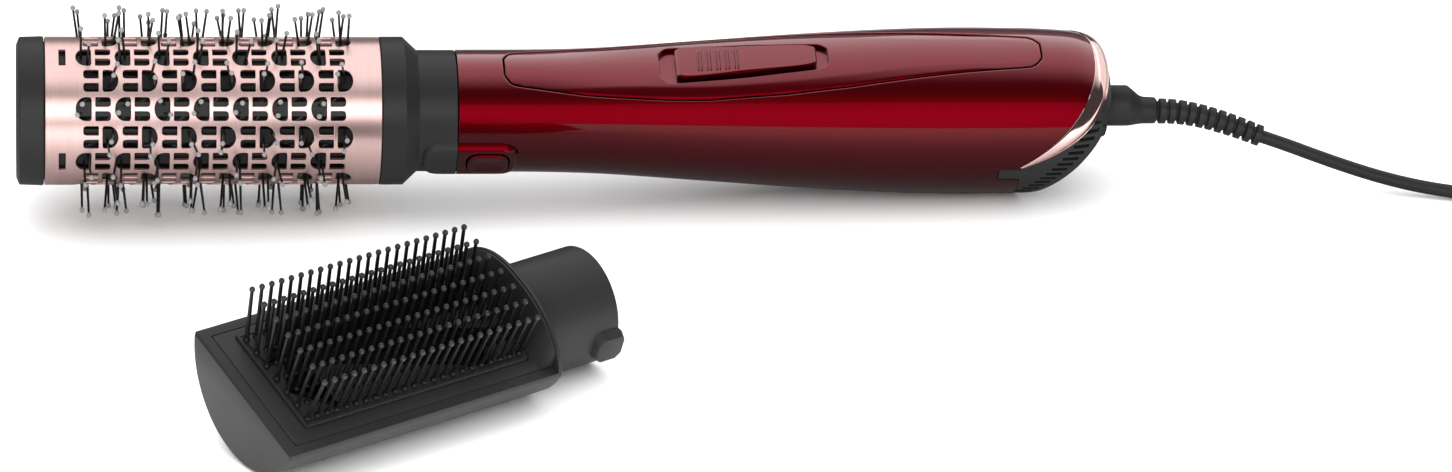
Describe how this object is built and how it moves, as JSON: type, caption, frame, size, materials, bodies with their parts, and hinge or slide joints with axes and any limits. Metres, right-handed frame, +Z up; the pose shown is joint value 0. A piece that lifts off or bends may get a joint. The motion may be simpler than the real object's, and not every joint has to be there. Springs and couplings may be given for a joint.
{
  "type": "hot air styling brush",
  "caption": "Hot-air hair styler: a lacquered handle with a perforated round brush head fitted, a spare paddle brush head beside it, and a swivel mains cord.",
  "frame": {"origin": "on the resting plane, under the middle of the styler and paddle head together, measured without the free cord", "axes": "+X runs with the styler from its brush tip to its cord end, +Z up; the paddle head lies on the -Y side"},
  "size_m": [0.6385, 0.2732, 0.0738],
  "materials": {
    "red_lacquer": "gloss metallic lacquer",
    "rose_gold_trim": "polished rose gold plating",
    "rose_gold_sleeve": "brushed rose gold anodising",
    "black_plastic": "fine matt",
    "grey_plastic": "satin",
    "bristle_nylon": "satin nylon",
    "cord_rubber": "satin rubber",
    "steel": "plain",
    "mica": "matt mica board",
    "circuit_board": "solder mask"
  },
  "bodies": {
    "cord_set": {"swivel_collar": "cord_rubber", "cord_boot": "cord_rubber", "strain_relief": "cord_rubber", "cord": "cord_rubber", "cord_coil": "cord_rubber", "cord_tail": "cord_rubber", "cord_tie": "black_plastic", "plug": "black_plastic"},
    "handle": {"upper_shell": "red_lacquer", "lower_shell": "red_lacquer", "switch_panel": "red_lacquer", "trim_ring": "rose_gold_trim", "nozzle_tube": "black_plastic", "heat_shield": "mica", "heater_frame": "mica", "heater_coil": "steel", "thermostat": "steel", "circuit_board": "circuit_board", "switch_block": "black_plastic", "motor": "steel", "motor_mount": "black_plastic", "fan_duct": "black_plastic", "swivel_socket": "black_plastic"},
    "switch": {"slide_switch": "red_lacquer"},
    "release": {"release_button": "red_lacquer"},
    "rear_cover": {"rear_cap": "black_plastic", "dust_filter": "steel"},
    "fan_rotor": {"fan": "black_plastic"},
    "brush_head": {"end_cap": "black_plastic", "barrel_sleeve": "rose_gold_sleeve", "head_collar": "black_plastic", "bristle_core": "black_plastic", "bristle_strip_1": "bristle_nylon", "bristle_strip_2": "bristle_nylon", "bristle_strip_3": "bristle_nylon", "bristle_strip_4": "bristle_nylon", "bristle_strip_5": "bristle_nylon", "bristle_strip_6": "bristle_nylon", "bristle_strip_7": "bristle_nylon", "bristle_strip_8": "bristle_nylon", "bristle_strip_9": "bristle_nylon", "bristle_strip_10": "bristle_nylon", "bristle_strip_11": "bristle_nylon", "bristle_strip_12": "bristle_nylon", "bristle_strip_13": "bristle_nylon", "bristle_strip_14": "bristle_nylon", "bristle_strip_15": "bristle_nylon", "bristle_strip_16": "bristle_nylon"},
    "paddle_head": {"paddle_back": "grey_plastic", "paddle_neck": "grey_plastic", "paddle_face": "grey_plastic", "paddle_pad": "black_plastic", "paddle_pin_row_1": "bristle_nylon", "paddle_pin_row_2": "bristle_nylon", "paddle_pin_row_3": "bristle_nylon", "paddle_pin_row_4": "bristle_nylon", "paddle_pin_row_5": "bristle_nylon", "paddle_pin_row_6": "bristle_nylon", "paddle_pin_row_7": "bristle_nylon"}
  },
  "joints": [
    {"name": "cord_swivel", "type": "hinge", "parent": "cord_set", "child": "handle", "pos_m": [-0.04665, 0.09089, 0.03464], "axis": [0.9995, 0, -0.0319], "continuous": true},
    {"name": "switch_slide", "type": "slide", "parent": "handle", "child": "switch", "axis": [0.9995, 0, -0.0319], "range_m": [-0.004, 0.0025]},
    {"name": "release_press", "type": "slide", "parent": "handle", "child": "release", "axis": [0.0167, 0.8526, 0.5222], "range_m": [0, 0.0014], "stiffness_N_per_m": 500, "springref_m": -0.0004},
    {"name": "rear_cover_slide", "type": "slide", "parent": "handle", "child": "rear_cover", "axis": [0.9995, 0, -0.0319], "range_m": [0, 0.01]},
    {"name": "fan_spin", "type": "hinge", "parent": "handle", "child": "fan_rotor", "pos_m": [0.12227, 0.09089, 0.02924], "axis": [0.9995, 0, -0.0319], "continuous": true},
    {"name": "head_release", "type": "slide", "parent": "handle", "child": "brush_head", "axis": [-0.9995, 0, 0.0319], "range_m": [0, 0.045]},
    {"name": "paddle_lift", "type": "slide", "parent": "cord_set", "child": "paddle_head", "axis": [0, 0, 1], "range_m": [0, 0.06]}
  ]
}
